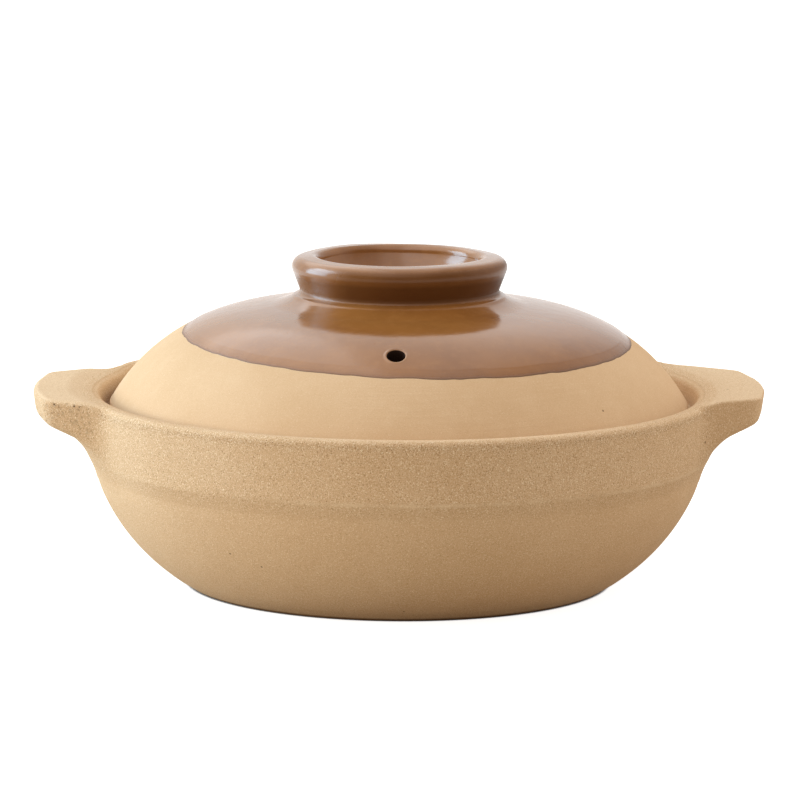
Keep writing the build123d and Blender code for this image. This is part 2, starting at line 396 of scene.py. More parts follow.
def handle_plan(back_bow):
    """Right handle seen from above, closed."""
    front_tip = polar(handle_reach, -handle_half_angle)
    back_tip = polar(handle_reach, handle_half_angle)
    front_root = polar(handle_inner_reach, -handle_front_angle)
    back_root = polar(handle_inner_reach, handle_back_angle)
    tip_angles = np.linspace(-handle_half_angle, handle_half_angle, 25)[1:-1]
    inner = handle_core_reach * 0.8
    return rounded(
        [(inner, front_root[1]), front_root]
        + bow_points(front_root, front_tip, handle_front_bow)[:-corner_gap]
        + [front_tip + (handle_corner_round,)]
        + [polar(handle_reach, a) for a in tip_angles[tip_gap:-tip_gap]]
        + [back_tip + (handle_corner_round,)]
        + bow_points(back_tip, back_root, back_bow)[corner_gap:]
        + [back_root, (inner, back_root[1])]
    )


def handle_section():
    """Right handle in (radius, height), closed."""
    tip_under = (handle_reach, handle_top - handle_thickness)
    hollow = (handle_root_radius + handle_hollow_reach, tip_under[1] - handle_underside_drop)
    foot = (handle_root_foot_radius, rim_height - handle_depth)
    slope = (tip_under[1] - hollow[1]) / (tip_under[0] - hollow[0])
    out, rise, handle_root_round = handle_root_corner
    past = handle_reach + handle_overrun
    control = (hollow[0] - handle_hollow_lead, hollow[1] - handle_hollow_lead * slope)
    return rounded(
        [(handle_core_reach, foot[1]), (handle_core_reach, rim_height - handle_core_drop)]
        + [(handle_root_radius + out, rim_height + rise, handle_root_round)]
        + [(handle_root_radius + handle_brow_reach, handle_top, handle_brow_round)]
        + [(past, handle_top), (past, tip_under[1] + handle_overrun * slope)]
        + curve(hollow, control, foot, 24)
    )


# Distance fields

def signed_distance(outline, u, v):
    """Distance from points to a closed outline, negative inside."""
    a = np.asarray(outline, float)
    b = np.roll(a, -1, axis=0)
    best = np.full(u.shape, 1e9)
    inside = np.zeros(u.shape, bool)
    for (au, av), (bu, bv) in zip(a, b):
        du, dv = bu - au, bv - av
        length = du * du + dv * dv
        if length < 1e-12:
            continue
        t = np.clip(((u - au) * du + (v - av) * dv) / length, 0, 1)
        best = np.minimum(best, (u - au - t * du) ** 2 + (v - av - t * dv) ** 2)
        if abs(dv) > 1e-12:
            crosses = (av > v) != (bv > v)
            inside ^= crosses & (u < au + (v - av) * du / dv)
    return np.sqrt(best) * np.where(inside, -1, 1)


def raster(outline, box):
    """A rectangle's low corner and the table of signed distances over it."""
    low, high = box
    us = np.arange(low[0], high[0] + raster_step, raster_step)
    vs = np.arange(low[1], high[1] + raster_step, raster_step)
    u, v = np.meshgrid(us, vs, indexing="ij")
    return low, signed_distance(outline, u, v)


def look_up(field, u, v):
    corner, table = field
    i = np.clip((u - corner[0]) / raster_step, 0, table.shape[0] - 1.001)
    j = np.clip((v - corner[1]) / raster_step, 0, table.shape[1] - 1.001)
    i0, j0 = i.astype(int), j.astype(int)
    fi, fj = i - i0, j - j0
    low = table[i0, j0] * (1 - fi) + table[i0 + 1, j0] * fi
    high = table[i0, j0 + 1] * (1 - fi) + table[i0 + 1, j0 + 1] * fi
    return low * (1 - fj) + high * fj


def round_join(a, b, radius):
    """Union of two shapes with a hollow round between them."""
    reach = np.hypot(np.maximum(radius - a, 0), np.maximum(radius - b, 0))
    return np.maximum(radius, np.minimum(a, b)) - reach


def round_meet(a, b, radius):
    """Intersection of two shapes with a rounded edge."""
    return -round_join(-a, -b, radius)


def ease(value, low, high):
    t = np.clip((value - low) / (high - low), 0, 1)
    return t * t * (3 - 2 * t)


def hump(value, middle, width):
    return np.exp(-((value - middle) / width) ** 2)


def waves(angles, heights, size, seed, first=2, last=9):
    """Slow unevenness of a piece turned by hand."""
    dice = np.random.default_rng(seed)
    total = 0.0
    for n in range(first, last):
        total = total + dice.normal() / n * np.sin(
            n * angles + heights * dice.uniform(-wave_tilt, wave_tilt) + dice.uniform(0, wave_turn)
        )
    return total * size


# Meshes

def add_object(name, data):
    made = bpy.data.objects.new(name, data)
    bpy.context.scene.collection.objects.link(made)
    return made


def column_angles(columns):
    return np.linspace(0, 2 * pi, columns, endpoint=False)


def turned(outline, angles):
    """Radii and heights of an outline's rows, the same at every angle."""
    return outline.T[:, :, None] * np.ones(len(angles))


def grid_points(radii, heights, angles):
    """Points of a grid from its radii, heights and its columns' angles."""
    return np.stack([radii * np.cos(angles), radii * np.sin(angles), heights], -1).reshape(-1, 3)


def grid_faces(rows, columns):
    """Quads of a grid of rows that close round the axis."""
    i, j = np.meshgrid(np.arange(rows - 1), np.arange(columns), indexing="ij")
    here = i * columns + j
    beside = i * columns + (j + 1) % columns
    return np.stack([here, beside, beside + columns, here + columns], -1)


def row_face(row, columns):
    """One face that closes a row."""
    return (row * columns + np.arange(columns))[None]


def make_piece(name, points, faces, values, material, body, nodes):
    """Smooth mesh from points in millimetres, with point values for the material."""
    mesh = bpy.data.meshes.new(name)
    used = np.unique(np.concatenate([f.ravel() for f in faces]))
    place = np.full(len(points), -1)
    place[used] = np.arange(len(used))
    polygons = [row for f in faces for row in place[f.reshape(-1, f.shape[-1])].tolist()]
    mesh.from_pydata((points[used] * MM).tolist(), [], polygons)
    mesh.update()
    mesh.polygons.foreach_set("use_smooth", np.ones(len(mesh.polygons), bool))
    for key, numbers in values.items():
        attribute = mesh.attributes.new(key, "FLOAT", "POINT")
        attribute.data.foreach_set("value", np.asarray(numbers.ravel(), np.float32)[used])
    mesh.materials.append(material)
    piece = add_object(name, mesh)
    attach(piece, body)
    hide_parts(*nodes)


# Bowl and handles, one skin of clay

bowl_field = raster(bowl_outline(), bowl_box)
section_field = raster(handle_section(), section_box)
left_plan_field = raster(handle_plan(left_back_bow), plan_box)
right_plan_field = raster(handle_plan(right_back_bow), plan_box)


def back_lift(angles):
    """How far the rim swells up behind each handle."""
    turn = np.degrees(np.arctan2(np.sin(angles), np.abs(np.cos(angles))))
    return back_lift_height * ease(turn, *back_lift_rise) * (1 - ease(turn, *back_lift_fall))


def clay_distance(radius, height, angles):
    """Signed distance to the bowl and its handles at one point per angle."""
    x, y = radius * np.cos(angles), radius * np.sin(angles)
    right = x > 0
    height = height - back_lift(angles) * ease(height, *back_lift_heights)
    right_plan = look_up(right_plan_field, np.abs(x), y)
    left_plan = look_up(left_plan_field, np.abs(x), y)
    draft = tan(radians(handle_draft))
    side = np.where(right, right_plan, left_plan) + (handle_top - height) * draft
    section = look_up(section_field, radius, height)
    upper = ease(height, *(handle_top - handle_thickness * share for share in edge_change))
    edge = np.where(right, right_edge_round, left_edge_round) * upper
    edge = edge + np.where(right, right_lower_round, left_lower_round) * (1 - upper)
    handle = round_meet(side, section, edge)
    bowl = look_up(bowl_field, radius, height)
    below_rim = 1 - ease(height, *(rim_height - depth for depth in rim_join_depths))
    return round_join(bowl, handle, rim_join_round + (join_round - rim_join_round) * below_rim)


def clay_slopes(radius, height, angles):
    """How fast the distance grows outwards and upwards."""
    d = trace_probe
    outwards = clay_distance(radius + d, height, angles) - clay_distance(radius - d, height, angles)
    upwards = clay_distance(radius, height + d, angles) - clay_distance(radius, height - d, angles)
    return outwards / (2 * d), upwards / (2 * d)


def trace_outside(angles):
    """Follows the clay's outside in each half plane, from the belly over the rim."""
    radius = np.full(len(angles), belly_at(band_start))
    height = np.full(len(angles), band_start)
    path = [np.stack([radius, height])]
    done = np.zeros(len(angles), bool)
    for _ in range(trace_limit):
        for correction in range(2):
            value = clay_distance(radius, height, angles)
            slope_r, slope_z = clay_slopes(radius, height, angles)
            length = np.hypot(slope_r, slope_z) + 1e-9
            slope_r, slope_z = slope_r / length, slope_z / length
            move = np.where(done, 0, value / length)
            radius = radius - slope_r * move
            height = height - slope_z * move
            if correction == 0:
                go = np.where(done, 0, trace_step)
                radius = radius - slope_z * go
                height = height + slope_r * go
        done |= (radius < rim_inner_edge) & (height > rim_height - level_depth)
        path.append(np.stack([radius, height]))
        if done.all():
            break
    return np.array(path)


def outside_rows(angles):
    """Radii and heights of the rows that follow the handles."""
    path = trace_outside(angles)
    count = int(band_length / row_step)
    columns = [spread(path[:, :, column], count=count) for column in range(len(angles))]
    return np.stack(columns, axis=2).transpose(1, 0, 2)


def foot_rows():
    """Foot and belly, from the axis to where the rows that follow the handles start."""
    flat_edge = foot_radius - foot_row_margin
    foot = rounded(
        [(axis_gap, 0), (foot_radius, 0, foot_edge_round)]
        + belly_points(belly_start_height, band_start, count=80)
    )
    flat = [(radius, 0) for radius in (axis_gap, *foot_row_radii, flat_edge)]
    belly = spread(foot[foot[:, 0] >= flat_edge], row_step * 1.2)
    return np.concatenate([flat, belly])[:-1]


def below_ledge(skin):
    """Inside of the bowl under the ledge, with a coat of a thickness, down to the axis."""
    inset = wall_thickness + skin
    floor = floor_thickness + skin
    wall_top = corbel_foot - ledge_corbel_round
    wall_foot = floor_thickness + floor_corner_reach
    return (
        [
            (seat_inner_radius - skin, seat_height - ledge_nose - skin, ledge_nose_round),
            (belly_at(corbel_foot, inset), corbel_foot, ledge_corbel_round),
        ]
        + belly_points(wall_top, wall_foot, inset, 50)
        + [(belly_at(floor, inset), floor, floor_corner_round), (axis_gap, floor)]
    )


def inside_rows():
    """Inside of the bowl, from the rim over the ledge to the axis."""
    inside = rounded(
        [
            (rim_inner_edge, rim_height),
            (mouth_radius, rim_height, rim_inner_round * 0.98),
            (gallery_radius, seat_height, seat_corner_round),
            (seat_inner_radius, seat_height, ledge_nose_round * 0.7),
        ]
        + below_ledge(0.0)
    )
    return spread(inside, row_step * 1.5)[1:]


def clay_marks(radii, heights, angles, inner):
    """Where the bowl's clay is coarse, smooth or pitted, darkened by painted shade inside the rim at
    the left, and paler by a painted highlight along the ridge's crest.
    """
    x, y = radii * np.cos(angles), radii * np.sin(angles)
    along_r, along_z = np.gradient(radii, axis=0), np.gradient(heights, axis=0)
    upward = -along_r / (np.hypot(along_r, along_z) + 1e-9)
    handle = ease(radii, *handle_zone)
    level = ease(upward, *level_slopes) * (heights > rim_height - level_depth)
    smooth = level * ease(radii, *smooth_zone)
    coarse = ease(heights, *(ridge_height + rise for rise in coarse_heights))
    coarse = coarse * (1 - smooth) * (1 - level_fineness * level)
    coarse = coarse * (1 - right_fineness * handle * (x > 0))
    coarse[inner:] = 0
    rim = hump(heights, rim_height - rim_band[0], rim_band[1]) * (1 - handle) * (coarse > 0)
    pits = ease(-x, *pits_left) * ease(-y, *pits_front) * ease(heights, *pits_heights)
    row = hump(heights, *pit_row) * ease(-x, *pit_row_rise) * (1 - ease(-x, *pit_row_fall)) * (y < 0)
    pitted = (pits * pits_share + row * pit_row_share) * (1 - level)
    # Painted shade inside the rim at the left, above the lid's seat
    pocket_shade = 1 - ease(heights, *(rim_height - depth for depth in pocket_shade_depths))
    pocket_shade = pocket_shade * ease(-x, *pocket_shade_left)
    pocket_shade[:inner] = 0
    # Painted highlight along the ridge's crest
    crest = hump(heights, ridge_height - crest_band[0], crest_band[1]) * (1 - ease(-x, *crest_left))
    crest[inner:] = 0
    return {
        "coarse": coarse, "rim": rim, "pitted": pitted,
        "smooth": smooth, "pocket_shade": pocket_shade, "crest": crest,
    }


def pot_clay_piece():
    """Bowl and handles, in rows up the outside, over the rim and down inside."""
    angles = column_angles(pot_columns)
    outside = np.concatenate([turned(foot_rows(), angles), outside_rows(angles)], axis=1)
    inside = turned(inside_rows(), angles)
    inner = outside.shape[1]
    lift = np.exp(-np.maximum(0, rim_height - inside[1]) / back_lift_depth)
    lift = lift * (inside[0] > seat_inner_radius)
    inside[1] += lift * back_lift(angles)
    radii, heights = np.concatenate([outside, inside], axis=1)
    pressed = hump(heights, under_press_height, under_press_reach)
    pressed[inner:] = 0
    push = waves(angles, heights, *bowl_waves) - wave_inset
    push = push - under_press * pressed * ease(np.abs(np.cos(angles)), *under_press_side)
    share = ease(radii - foot_radius, *wave_foot_reach) * ease(heights, *wave_foot_heights)
    radii = radii + push * share
    rows, columns = radii.shape
    faces = [grid_faces(rows, columns), row_face(0, columns)[:, ::-1], row_face(rows - 1, columns)]
    make_piece(
        "bowl_clay", grid_points(radii, heights, angles), faces,
        clay_marks(radii, heights, angles, inner), clay_material("bowl_clay", bowl_look), "pot",
        ["pot_body", "handle_left", "handle_right"],
    )


def pot_glaze_piece():
    """Glaze inside the bowl, from just under the ledge's bearing face to the floor."""
    angles = column_angles(lid_columns // 2)
    top = seat_height - pot_glaze_margin
    outline = rounded(
        [
            (seat_inner_radius + pot_glaze_tuck[0], top + pot_glaze_tuck[1]),
            (seat_inner_radius - glaze_thickness, top - pot_glaze_shoulder, pot_glaze_round),
        ]
        + below_ledge(glaze_thickness)
    )
    radii, heights = turned(spread(outline, row_step * 2), angles)
    heights = heights + waves(angles, 0, *drip_waves) * ease(heights, top - drip_reach, top)
    rows, columns = radii.shape
    faces = [grid_faces(rows, columns), row_face(rows - 1, columns)]
    make_piece(
        "bowl_glaze", grid_points(radii, heights, angles), faces,
        {"edge": ease(heights, top - 2.0, top)}, glaze_material("bowl_glaze"), "pot",
        ["pot_glaze"],
    )


# Lid

def dome_height(radius, offset=0.0):
    """Height of the lid's crown and shoulder at a radius, offset outwards."""
    crown = crown_centre_z + np.sqrt((crown_radius + offset) ** 2 - np.minimum(radius, 200.0) ** 2)
    out = np.clip(radius - shoulder_centre_r, 0, (shoulder_radius + offset) * 0.999)
    shoulder = shoulder_centre_z + np.sqrt((shoulder_radius + offset) ** 2 - out ** 2)
    junction = (crown_radius + offset) * sin(crown_slope)
    return np.where(radius < junction, crown, shoulder)


def dome_at(radius, offset=0.0):
    return float(dome_height(np.array(radius), offset))


def skirt_top(offset):
    """Where the lid's shoulder meets its skirt, offset outwards."""
    radius = shoulder_radius + offset
    return (
        shoulder_centre_r + radius * sin(skirt_slope),
        shoulder_centre_z + radius * cos(skirt_slope),
    )


def cap_edge(angles):
    """Radius at which the glaze ends, from the lid's axis, at each angle."""
    along = cap_shift[0] * np.cos(angles) + cap_shift[1] * np.sin(angles)
    off = cap_shift[0] ** 2 + cap_shift[1] ** 2
    circle = along + np.sqrt(cap_radius ** 2 - off + along ** 2)
    fine = waves(angles, 0, *cap_fine_waves) * cap_fine_share
    slow = waves(angles, 0, *cap_slow_waves) * cap_slow_share
    return circle + fine + slow


def hole_window(angles, radii):
    """Rows and columns of a grid that lie round the steam hole."""
    columns = len(angles)
    middle = int(round((hole_angle % (2 * pi)) / (2 * pi) * columns))
    beside = int(round(hole_window_reach / (hole_reach * 2 * pi / columns)))
    across = np.arange(middle - beside, middle + beside + 1) % columns
    rows = np.nonzero(np.abs(radii[:, middle] - hole_reach) < hole_window_reach)[0]
    return rows[0], rows[-1], across


def holed_grid(rows, columns, first, last, across):
    """Quads of a grid without those in a window, and the window's border in order."""
    quads = grid_faces(rows, columns)
    keep = np.ones(quads.shape[:2], bool)
    keep[first:last, across[:-1]] = False
    window = np.arange(rows * columns).reshape(rows, columns)[first:last + 1, across]
    border = [window[0], window[1:, -1], window[-1, -2::-1], window[-2:0:-1, 0]]
    return quads[keep], np.concatenate(border)


def rings_to_hole(points, border, profile, offset):
    """Rings from a window's border to the steam hole, by pairs of distance and height offset."""
    centre = np.array(hole_centre)
    start = points[border][:, :2] - centre
    angle = np.arctan2(start[:, 1], start[:, 0])
    out = np.hypot(start[:, 0], start[:, 1])
    direction = np.stack([np.cos(angle), np.sin(angle)], -1)
    first = profile[0][0]
    rings = [(out * (1 - t) + first * t, 0.0) for t in np.linspace(0, 1, 7)[1:-1]]
    rings += [(np.full(len(border), d), h) for d, h in profile]
    made, faces = [], []
    previous = border
    for index, (distance, rise) in enumerate(rings):
        flat = centre + direction * distance[:, None]
        height = dome_height(np.hypot(flat[:, 0], flat[:, 1]), offset) + rise
        made.append(np.concatenate([flat, height[:, None]], axis=1))
        here = len(points) + index * len(border) + np.arange(len(border))
        faces.append(np.stack([previous, np.roll(previous, -1), np.roll(here, -1), here], -1))
        previous = here
    return np.concatenate(made), np.concatenate(faces)


def with_hole(radii, heights, angles, profile, offset):
    """Points, faces and ring numbers of a skin of the dome with the steam hole."""
    points = grid_points(radii, heights, angles)
    rows, columns = radii.shape
    quads, border = holed_grid(rows, columns, *hole_window(angles, radii))
    extra, more = rings_to_hole(points, border, profile, offset)
    rings = np.arange(len(extra)) // len(border)
    return np.concatenate([points, extra]), [quads, more, row_face(0, columns)[:, ::-1]], rings


def knob_rows():
    """Outline of the knob and the middle of the crown, from the axis outwards."""
    lean = radians(knob_neck_lean)
    floor = dome_at(0.0, glaze_thickness)
    basin_edge = (knob_lip_centre[0] - knob_lip_radius, knob_lip_centre[1])
    basin = curve(
        (knob_basin_radius, floor + knob_basin_rise),
        (basin_edge[0] - knob_basin_turn[0], floor + knob_basin_turn[1]),
        basin_edge, 30,
    )[:-1]
    meeting = pi / 2 - knob_lip_lean
    bead = arc(knob_lip_centre, knob_lip_radius, pi, meeting, 24)
    bead += arc(knob_bead_centre, knob_bead_radius, meeting, -lean, 50)
    foot_r = bead[-1][0] - (bead[-1][1] - floor) * tan(lean)
    foot_z = dome_at(foot_r, glaze_thickness) + knob_swell_height
    foot_r = bead[-1][0] - (bead[-1][1] - foot_z) * tan(lean)
    crown = []
    for r in np.linspace(foot_r + knob_foot_round, knob_foot_reach, 30):
        swell = max(0.0, 1 - (r - foot_r) / knob_swell_width) ** 2
        crown.append((r, dome_at(r, glaze_thickness) + knob_swell_height * swell))
    inner_floor = [(axis_gap, floor), (6.0, floor)]
    outline = rounded(inner_floor + basin + bead + [(foot_r, foot_z, knob_foot_round)] + crown)
    outline = spread(outline, row_step * 0.7)
    pool_r = foot_r + knob_foot_round + knob_pool_width
    ring = hump(outline[:, 0], pool_r, knob_pool_width) * (outline[:, 1] < foot_z + 1.0)
    outline[:, 1] += knob_pool_height * ring
    return outline


def coat_rows(angles, edge):
    """Radii and heights of the glaze over the knob and the crown, out to its thinning edge."""
    start = edge - cap_taper
    shares = np.linspace(0, 1, int(cap_length / row_step))[1:, None]
    out = knob_foot_reach + shares * (start - knob_foot_reach)
    taper = np.append(np.linspace(0, 1, 14)[1:], 1.0)[:, None]
    taper_out = start + cap_taper * taper
    thickness = glaze_thickness * (1 - taper ** 2 * (3 - 2 * taper) * cap_thinning)
    thickness[-1] = cap_sink
    crown = np.stack([out, dome_height(out, glaze_thickness)])
    rim = np.stack([taper_out, dome_height(taper_out) + thickness])
    radii, heights = np.concatenate([turned(knob_rows(), angles), crown, rim], axis=1)
    knob = np.exp(-np.maximum(0, radii - knob_wave_radius) / knob_wave_fade)
    knob = knob * ease(heights, *knob_wave_heights)
    radii = radii + waves(angles, 0, *knob_width_waves) * knob
    lip = knob * ease(heights, *knob_lip_wave_heights)
    heights = heights + waves(angles, 0, *knob_height_waves) * lip
    return radii, np.minimum(heights, cad_high.z / MM - 0.02)


def hole_profile():
    """Lip of glaze round the steam hole and the bore, as (distance, height offset)."""
    lip = hole_radius + hole_lip
    profile = [(lip + hole_lip_margin, 0.0)]
    profile += [
        (lip - hole_lip * t, hole_lip_height * sin(pi * min(1.0, t * 1.15)))
        for t in np.linspace(0.05, 0.85, 7)
    ]
    profile += [(hole_radius + out, rise) for out, rise in bore_edge]
    thickness = dome_at(hole_reach) - dome_at(hole_reach, -lid_wall_thickness)
    return profile + [(hole_radius + bore_edge[-1][0], -thickness * t) for t in bore_depths]


def coat_pool_and_shade(radii, heights, angles):
    """Where the glaze is thick on the knob's neck and bead, which also carry painted shade; less at
    their left, where the light falls.
    """
    bead = ease(heights, *bead_heights)
    neck = ease(heights, *neck_heights) * (1 - bead_thinness * bead) * ease(radii, *neck_radii)
    # Less darkening at the left, the side the light falls on
    left = ease(-np.cos(angles) * radii, *lit_left)
    left = left * (lit_left_shares[0] + lit_left_shares[1] * bead)
    return neck * (1 - ease(heights, *lip_heights)) * (radii < neck_outer_radius) * (1 - left)


def lid_coat_piece():
    """Brown glaze over the knob and the crown, with the steam hole's lip."""
    angles = column_angles(lid_columns)
    edge = cap_edge(angles)
    radii, heights = coat_rows(angles, edge)
    points, faces, rings = with_hole(radii, heights, angles, hole_profile(), glaze_thickness)
    dark_edge = np.exp(-np.maximum(0, edge - radii) / cap_edge_width).ravel()
    pool_and_shade = coat_pool_and_shade(radii, heights, angles).ravel()
    extra = points[len(pool_and_shade):]
    # Painted highlight: the lip is pale only on the hole's right and front side
    side = (extra[:, 0] - hole_centre[0]) - hole_lip_slant * (extra[:, 1] - hole_centre[1])
    lip = hump(rings, *hole_lip_ring) * ease(side, *hole_lip_highlight_side)
    # Painted shade, darker down the bore
    depth = ease(rings, *bore_shade_rings)
    on_dome, on_rings = (0, len(rings)), (len(pool_and_shade), 0)
    values = {
        "edge": np.pad(dark_edge, on_dome),
        "pool_and_shade": np.pad(pool_and_shade, on_dome),
        "lip": np.pad(lip, on_rings),
        "depth": np.pad(depth, on_rings),
    }
    make_piece(
        "lid_coat", points, [f[..., ::-1] for f in faces], values, glaze_material("lid_glaze"),
        "lid", ["knob_ring", "lid_glaze"],
    )


def lid_clay_piece():
    """Bare shoulder, skirt and lip of the lid, on into the dome as far as its inner glaze."""
    angles = column_angles(lid_columns)
    start = cap_edge(angles) - cap_tuck
    shares = np.linspace(0, 1, int(lid_clay_length / row_step))[:, None]
    start_slope = np.arcsin(np.clip((start - shoulder_centre_r) / shoulder_radius, 0, 1))
    slopes = start_slope + shares * (skirt_slope - start_slope)
    inner = -lid_wall_thickness
    inner_top = skirt_top(inner)
    inner_end = inner_top[0] - lid_inside_reach
    foot_drop = inner_top[1] - seat_height
    rest = rounded(
        [
            (skirt_top_radius, skirt_top_height),
            (lid_radius, lip_top_height, lid_edge_round * 0.9),
            (lid_radius, seat_height, lid_edge_round),
            (inner_top[0] + foot_drop / tan(skirt_slope), seat_height, lid_foot_round),
            inner_top,
            (inner_end, dome_at(inner_end, inner)),
        ]
    )
    rest = turned(spread(rest, row_step * 0.8)[1:], angles)
    shoulder_radii = shoulder_centre_r + shoulder_radius * np.sin(slopes)
    shoulder_heights = shoulder_centre_z + shoulder_radius * np.cos(slopes)
    radii, heights = np.concatenate([np.stack([shoulder_radii, shoulder_heights]), rest], axis=1)
    share = ease(radii, *lid_wave_radii) * (heights > seat_height + 0.5)
    radii = radii + waves(angles, heights, *lid_waves) * share
    make_piece(
        "lid_clay", grid_points(radii, heights, angles), [grid_faces(*radii.shape)[..., ::-1]], {},
        clay_material("lid_clay", lid_look), "lid", ["lid_dome"],
    )


def lid_underglaze_piece():
    """Glaze under the dome, with the steam hole."""
    angles = column_angles(lid_columns // 2)
    inner = -lid_wall_thickness - glaze_thickness
    foot = seat_height + underglaze_margin
    top = skirt_top(inner)
    end = top[0] + (top[1] - foot) / tan(skirt_slope)
    outline = [(r, dome_at(r, inner)) for r in np.linspace(axis_gap, top[0], 160)]
    outline += [(end, foot), (end + underglaze_tuck[0], foot + underglaze_tuck[1])]
    radii, heights = turned(spread(outline, row_step * 2), angles)
    profile = [(hole_radius + out, rise) for out, rise in under_hole]
    points, faces, rings = with_hole(radii, heights, angles, profile, inner)
    edge = np.pad(ease(-heights, -foot - 2.0, -foot).ravel(), (0, len(rings)))
    make_piece(
        "lid_underside_glaze", points, faces, {"edge": edge},
        glaze_material("lid_underglaze"), "lid", ["lid_underglaze"],
    )


# Materials

def colour(*levels):
    """Colour from screen values of 0 to 255."""
    shares = [level / 255 for level in levels]
    return (*(s / 12.92 if s <= 0.04045 else ((s + 0.055) / 1.055) ** 2.4 for s in shares), 1.0)


class Nodes:
    """Short calls to build the nodes of a material or of the world."""

    def __init__(self, owner, output):
        owner.use_nodes = True
        self.tree = owner.node_tree
        self.tree.nodes.clear()
        self.out = self.add(output)

    def add(self, kind, feeds=None, **settings):
        """A node with its settings, and its sockets fed by name or number."""
        node = self.tree.nodes.new(kind)
        for key, value in settings.items():
            setattr(node, key, value)
        for socket, value in (feeds or {}).items():
            if isinstance(value, bpy.types.NodeSocket):
                self.tree.links.new(value, node.inputs[socket])
            else:
                node.inputs[socket].default_value = value
        return node

    def show(self, shader):
        self.tree.links.new(shader.outputs[0], self.out.inputs[0])

    def math(self, operation, a, b, clamp=False):
        node = self.add("ShaderNodeMath", {0: a, 1: b}, operation=operation, use_clamp=clamp)
        return node.outputs[0]

    def plus(self, a, b, clamp=False):
        return self.math("ADD", a, b, clamp)

    def times(self, a, b, clamp=False):
        return self.math("MULTIPLY", a, b, clamp)

    def mix(self, share, a, b):
        """Colour between a and b."""
        return self.add("ShaderNodeMix", {0: share, 6: a, 7: b}, data_type="RGBA").outputs[2]

    def tint(self, base, tone, share, amount):
        """A base colour with a tone over it, by a share of an amount."""
        return self.mix(self.times(share, amount), base, tone)

    def between(self, share, a, b):
        """Number between a and b."""
        return self.add("ShaderNodeMix", {"Factor": share, "A": a, "B": b}).outputs["Result"]

    def attribute(self, name):
        return self.add("ShaderNodeAttribute", attribute_name=name).outputs["Fac"]

    def place(self):
        return self.add("ShaderNodeTexCoord").outputs["Object"]

    def noise(self, vector, size, detail, rough):
        """Noise with features of a size in millimetres."""
        feeds = {"Vector": vector, "Scale": 1 / (size * MM), "Detail": detail, "Roughness": rough}
        return self.add("ShaderNodeTexNoise", feeds).outputs["Fac"]

    def cells(self, vector, size, threshold):
        """Distance to a cell's middle, and one in the cells that pass a threshold."""
        node = self.add("ShaderNodeTexVoronoi", {"Vector": vector, "Scale": 1 / (size * MM)})
        pick = self.add("ShaderNodeSeparateColor", {0: node.outputs["Color"]})
        return node.outputs["Distance"], self.math("GREATER_THAN", pick.outputs[0], threshold)

    def ramp(self, value, low, high, at_low=0.0, at_high=1.0):
        """Level that runs smoothly from one to another as a value goes from low to high."""
        feeds = {"Value": value, "From Min": low, "From Max": high, "To Min": at_low, "To Max": at_high}
        node = self.add("ShaderNodeMapRange", feeds, interpolation_type="SMOOTHSTEP")
        return node.outputs["Result"]

    def fall(self, value, low, high):
        return self.ramp(value, low, high, 1.0, 0.0)

    def bump(self, height, distance, finer=None):
        """Relief of a depth in millimetres, on top of a finer one."""
        feeds = {"Height": height, "Distance": distance * MM, "Strength": 1.0}
        if finer is not None:
            feeds["Normal"] = finer
        return self.add("ShaderNodeBump", feeds).outputs["Normal"]


def new_material(name):
    material = bpy.data.materials.new(name)
    return material, Nodes(material, "ShaderNodeOutputMaterial")


clay_tone = colour(215, 184, 148)
clay_shade = colour(210, 178, 141)
clay_pale = colour(232, 208, 176)
clay_grain = colour(250, 234, 208)
clay_pit = colour(156, 118, 82)
clay_hole = colour(74, 46, 28)
# Painted shade at the very bottom of the foot, where it meets the floor
clay_foot_shade = colour(128, 94, 62)
# Colour of the painted shade inside the rim at the left
clay_painted_shade = colour(116, 74, 44)
glaze_tone = colour(148, 98, 49)
glaze_deep = colour(136, 88, 43)
glaze_thin = colour(162, 112, 61)
# Thick glaze, darker, and painted shade on the knob's neck and bead
glaze_thick_and_shade = colour(74, 42, 20)
glaze_edge = colour(70, 38, 18)
# Colour of the painted highlight on the steam hole's lip
glaze_lip_highlight = colour(196, 158, 118)
# Colour of the painted shade down the steam hole
bore_shade = colour(30, 16, 9)

# How much sand and glints each clay shows, its relief's depths, and the heights over which painted
# shade darkens the foot where it meets the floor
bowl_look = {"sand": 0.50, "glints": 0.55, "fine": 0.17, "slow": 0.14, "foot": (0.3 * MM, 1.7 * MM)}
lid_look = {"sand": 0.16, "glints": 0.25, "fine": 0.10, "slow": 0.12, "foot": None}


def ring_place(n, place):
    """Place that runs along the rings left by turning."""
    x, y, z = n.add("ShaderNodeSeparateXYZ", {0: place}).outputs
    flat = n.add("ShaderNodeCombineXYZ", {0: x, 1: y}).outputs[0]
    radius = n.add("ShaderNodeVectorMath", {0: flat}, operation="LENGTH").outputs["Value"]
    rings = n.add("ShaderNodeCombineXYZ", {0: radius, 2: z}).outputs[0]
    squeeze = n.add("ShaderNodeVectorMath", {0: place, "Scale": 0.03}, operation="SCALE").outputs[0]
    return n.add("ShaderNodeVectorMath", {0: rings, 1: squeeze}, operation="ADD").outputs[0]


def clay_patterns(n, place):
    """What the clay's colour and relief both follow."""
    pits = n.fall(n.noise(place, 1.3, 2.0, 0.6), 0.34, 0.43)
    return {
        "mottle": n.noise(place, 6.0, 4.0, 0.6),
        "sand": n.noise(place, 0.43, 2.0, 0.6),
        "grit": n.noise(place, 1.15, 2.0, 0.55),
        "grooves": n.noise(ring_place(n, place), 1.6, 2.0, 0.55),
        "holes": n.times(pits, n.attribute("pitted"), True),
        "coarse": n.attribute("coarse"),
        "rim": n.attribute("rim"),
    }


